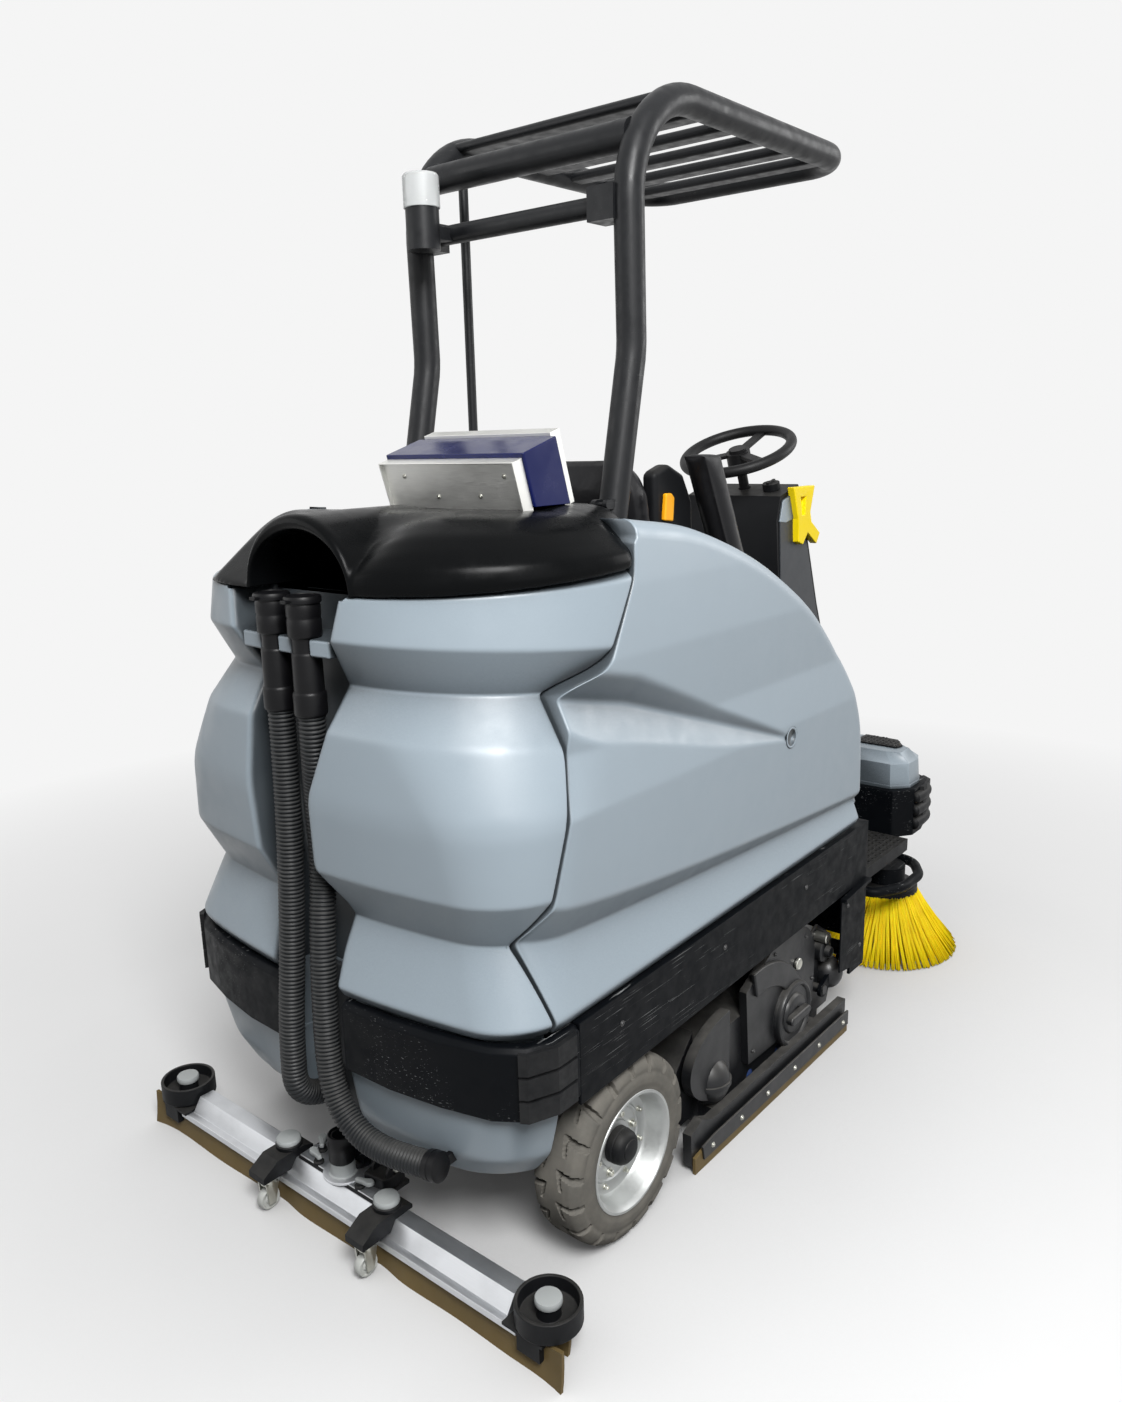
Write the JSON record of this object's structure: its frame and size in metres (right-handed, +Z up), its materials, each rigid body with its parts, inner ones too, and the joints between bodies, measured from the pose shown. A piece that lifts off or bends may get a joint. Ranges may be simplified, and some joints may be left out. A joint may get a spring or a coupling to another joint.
{
  "type": "ride-on floor scrubber",
  "caption": "Ride-on floor scrubber: grey tank body with black lid, driver's seat under a slatted roof frame, steered front wheel, scrub deck, side broom and rear squeegee.",
  "frame": {"origin": "on the floor, under the middle of the machine's length and width", "axes": "+X to the driver's right, +Y forward, +Z up"},
  "size_m": [1.25, 2.216, 2.248],
  "materials": {
    "frame_black": "satin black paint, scratched",
    "buffer_rubber": "ribbed grey-black rubber",
    "grey_moulding": "light grey-blue rotation-moulded plastic",
    "lid_black": "satin black moulded plastic",
    "box_blue": "blue powder coat",
    "stainless": "brushed stainless sheet",
    "hose_grey": "dark grey ribbed hose",
    "roof_black": "satin black powder coat",
    "clear_lens": "clear polycarbonate",
    "seat_vinyl": "black vinyl",
    "battery_grey": "dark battery case",
    "turbine_black": "black motor housing",
    "tyre_rubber": "dusty black rubber",
    "rim_silver": "silver paint",
    "grip_black": "black grip",
    "control_dark": "dark gloss plastic",
    "stop_red": "red gloss plastic",
    "yellow_plastic": "yellow plastic",
    "tread_black": "studded black tread",
    "deck_grey": "dark grey paint",
    "cover_black": "black moulded plastic",
    "amber_rubber": "amber polyurethane",
    "brush_fibre": "nylon fibre on a core",
    "broom_yellow": "yellow fibre with dark flecks",
    "squeegee_aluminium": "worn cast aluminium",
    "fitting_black": "black nylon",
    "zinc": "zinc plate",
    "caster_white": "pale clear polyurethane",
    "deflector_grey": "pale grey nylon"
  },
  "bodies": {
    "chassis": {"chassis_frame": "frame_black", "side_rails": "frame_black", "rear_bumper": "frame_black", "corner_buffers": "buffer_rubber", "fresh_water_tank": "grey_moulding", "waste_tank": "grey_moulding", "side_panel_right": "grey_moulding", "side_panel_left": "grey_moulding", "hose_cuffs": "lid_black", "drain_hose_left": "hose_grey", "drain_hose_right": "hose_grey", "roof_frame": "roof_black", "beacon_lens": "clear_lens", "seat_console": "lid_black", "battery_pack": "battery_grey", "suction_turbine": "turbine_black", "steering_tower": "lid_black", "mop_hook": "yellow_plastic", "front_bumper": "frame_black", "nose_cap": "grey_moulding", "floor_plates": "tread_black"},
    "lid": {"tank_lid": "lid_black", "box_casing": "box_blue", "box_trays": "stainless"},
    "seat": {"seat_base": "lid_black", "seat_cushion": "seat_vinyl"},
    "backrest": {"seat_backrest": "seat_vinyl"},
    "armrest": {"armrest": "seat_vinyl"},
    "rear_wheel_right": {"rear_tyre_right": "tyre_rubber", "rear_rim_right": "rim_silver"},
    "rear_wheel_left": {"rear_tyre_left": "tyre_rubber", "rear_rim_left": "rim_silver"},
    "steer_fork": {"front_fork": "frame_black"},
    "front_wheel": {"front_wheel": "tyre_rubber"},
    "steering_wheel": {"steering_wheel": "grip_black"},
    "accelerator": {"accelerator_pedal": "grip_black"},
    "brake": {"brake_pedal": "grip_black"},
    "dial": {"program_dial": "control_dark"},
    "stop_button": {"emergency_stop": "stop_red"},
    "deck_arms": {"deck_arms": "frame_black"},
    "deck": {"deck_housing": "deck_grey", "side_lips": "amber_rubber", "belt_cover": "cover_black"},
    "roller_rear": {"brush_roller_rear": "brush_fibre"},
    "roller_front": {"brush_roller_front": "brush_fibre"},
    "broom_arm": {"broom_arm": "frame_black"},
    "broom": {"broom_hub": "broom_yellow", "broom_bristles": "broom_yellow"},
    "squeegee_arm": {"squeegee_arm": "frame_black"},
    "squeegee": {"squeegee_rail": "squeegee_aluminium", "squeegee_blades": "amber_rubber", "squeegee_fittings": "fitting_black"},
    "clamp_knob_right": {"clamp_knob_right": "fitting_black"},
    "clamp_knob_left": {"clamp_knob_left": "fitting_black"},
    "caster_right": {"caster_fork_right": "zinc"},
    "caster_left": {"caster_fork_left": "zinc"},
    "caster_wheel_right": {"caster_wheel_right": "caster_white"},
    "caster_wheel_left": {"caster_wheel_left": "caster_white"},
    "deflector_right": {"deflector_right": "deflector_grey"},
    "deflector_left": {"deflector_left": "deflector_grey"}
  },
  "joints": [
    {"name": "lid_open", "type": "hinge", "parent": "chassis", "child": "lid", "pos_m": [0, -0.475, 1.435], "axis": [-1, 0, 0], "range_deg": [0, 50]},
    {"name": "seat_slide", "type": "slide", "parent": "chassis", "child": "seat", "axis": [0, 1, 0], "range_m": [-0.05, 0.08]},
    {"name": "backrest_recline", "type": "hinge", "parent": "seat", "child": "backrest", "pos_m": [0, -0.207, 1.04], "axis": [1, 0, 0], "range_deg": [-5, 12]},
    {"name": "armrest_fold", "type": "hinge", "parent": "backrest", "child": "armrest", "pos_m": [0.294, 0.023, 1.24], "axis": [-1, 0, 0], "range_deg": [0, 105]},
    {"name": "rear_wheel_right_spin", "type": "hinge", "parent": "chassis", "child": "rear_wheel_right", "pos_m": [0.445, -0.677, 0.19], "axis": [1, 0, 0], "continuous": true},
    {"name": "rear_wheel_left_spin", "type": "hinge", "parent": "chassis", "child": "rear_wheel_left", "pos_m": [-0.445, -0.677, 0.19], "axis": [1, 0, 0], "continuous": true},
    {"name": "steer_fork_turn", "type": "hinge", "parent": "chassis", "child": "steer_fork", "pos_m": [0, 0.663, 0.32], "axis": [0, 0, 1], "range_deg": [-75, 75]},
    {"name": "front_wheel_spin", "type": "hinge", "parent": "steer_fork", "child": "front_wheel", "pos_m": [0, 0.663, 0.14], "axis": [1, 0, 0], "continuous": true},
    {"name": "steering_wheel_turn", "type": "hinge", "parent": "chassis", "child": "steering_wheel", "pos_m": [0, 0.538, 1.517], "axis": [0, -0.3746, 0.9272], "range_deg": [-300, 300]},
    {"name": "accelerator_press", "type": "hinge", "parent": "chassis", "child": "accelerator", "pos_m": [0.216, 0.608, 0.374], "axis": [-1, 0, 0], "range_deg": [0, 15], "stiffness_Nm_per_rad": 6, "springref_deg": -17.19},
    {"name": "brake_press", "type": "hinge", "parent": "chassis", "child": "brake", "pos_m": [-0.216, 0.608, 0.374], "axis": [-1, 0, 0], "range_deg": [0, 18], "stiffness_Nm_per_rad": 10, "springref_deg": -17.19},
    {"name": "dial_turn", "type": "hinge", "parent": "chassis", "child": "dial", "pos_m": [0.095, 0.565, 1.41], "axis": [0, -0.2696, 0.963], "range_deg": [-135, 135]},
    {"name": "stop_press", "type": "slide", "parent": "chassis", "child": "stop_button", "axis": [0, 0.2696, -0.963], "range_m": [0, 0.005], "stiffness_N_per_m": 2000, "springref_m": -0.003},
    {"name": "deck_lift", "type": "hinge", "parent": "chassis", "child": "deck_arms", "pos_m": [0, 0.333, 0.215], "axis": [-1, 0, 0], "range_deg": [0, 17.3]},
    {"name": "deck_level", "type": "hinge", "parent": "deck_arms", "child": "deck", "pos_m": [0, 0.208, 0.15], "axis": [-1, 0, 0], "range_deg": [-17.3, 0]},
    {"name": "roller_rear_spin", "type": "hinge", "parent": "deck", "child": "roller_rear", "pos_m": [0, -0.117, 0.054], "axis": [1, 0, 0], "continuous": true},
    {"name": "roller_front_spin", "type": "hinge", "parent": "deck", "child": "roller_front", "pos_m": [0, 0.023, 0.054], "axis": [1, 0, 0], "continuous": true},
    {"name": "broom_lift", "type": "hinge", "parent": "chassis", "child": "broom_arm", "pos_m": [0.3, 0.603, 0.25], "axis": [1, 0, 0], "range_deg": [0, 10]},
    {"name": "broom_spin", "type": "hinge", "parent": "broom_arm", "child": "broom", "pos_m": [0.35, 0.873, 0.2], "axis": [0, 0, 1], "continuous": true},
    {"name": "squeegee_lift", "type": "hinge", "parent": "chassis", "child": "squeegee_arm", "pos_m": [0, -0.752, 0.133], "axis": [-1, 0, 0], "range_deg": [0, 10]},
    {"name": "squeegee_swing", "type": "hinge", "parent": "squeegee_arm", "child": "squeegee", "pos_m": [0, -0.962, 0.11], "axis": [0, 0, 1], "range_deg": [-12, 12]},
    {"name": "clamp_knob_right_turn", "type": "hinge", "parent": "squeegee", "child": "clamp_knob_right", "pos_m": [0.155, -1.021, 0.125], "axis": [0, 0, 1], "continuous": true},
    {"name": "caster_right_swivel", "type": "hinge", "parent": "squeegee", "child": "caster_right", "pos_m": [0.155, -1.079, 0.07], "axis": [0, 0, 1], "continuous": true},
    {"name": "caster_wheel_right_spin", "type": "hinge", "parent": "caster_right", "child": "caster_wheel_right", "pos_m": [0.155, -1.083, 0.025], "axis": [1, 0, 0], "continuous": true},
    {"name": "deflector_right_spin", "type": "hinge", "parent": "squeegee", "child": "deflector_right", "pos_m": [0.558, -1.01, 0.095], "axis": [0, 0, 1], "continuous": true},
    {"name": "clamp_knob_left_turn", "type": "hinge", "parent": "squeegee", "child": "clamp_knob_left", "pos_m": [-0.155, -1.021, 0.125], "axis": [0, 0, 1], "continuous": true},
    {"name": "caster_left_swivel", "type": "hinge", "parent": "squeegee", "child": "caster_left", "pos_m": [-0.155, -1.079, 0.07], "axis": [0, 0, 1], "continuous": true},
    {"name": "caster_wheel_left_spin", "type": "hinge", "parent": "caster_left", "child": "caster_wheel_left", "pos_m": [-0.155, -1.083, 0.025], "axis": [1, 0, 0], "continuous": true},
    {"name": "deflector_left_spin", "type": "hinge", "parent": "squeegee", "child": "deflector_left", "pos_m": [-0.558, -1.01, 0.095], "axis": [0, 0, 1], "continuous": true}
  ],
  "couplings": [
    {"joint": "steering_wheel_turn", "follows": "steer_fork_turn", "ratio": 4},
    {"joint": "deck_level", "follows": "deck_lift", "ratio": -1},
    {"joint": "roller_front_spin", "follows": "roller_rear_spin", "ratio": -1}
  ]
}
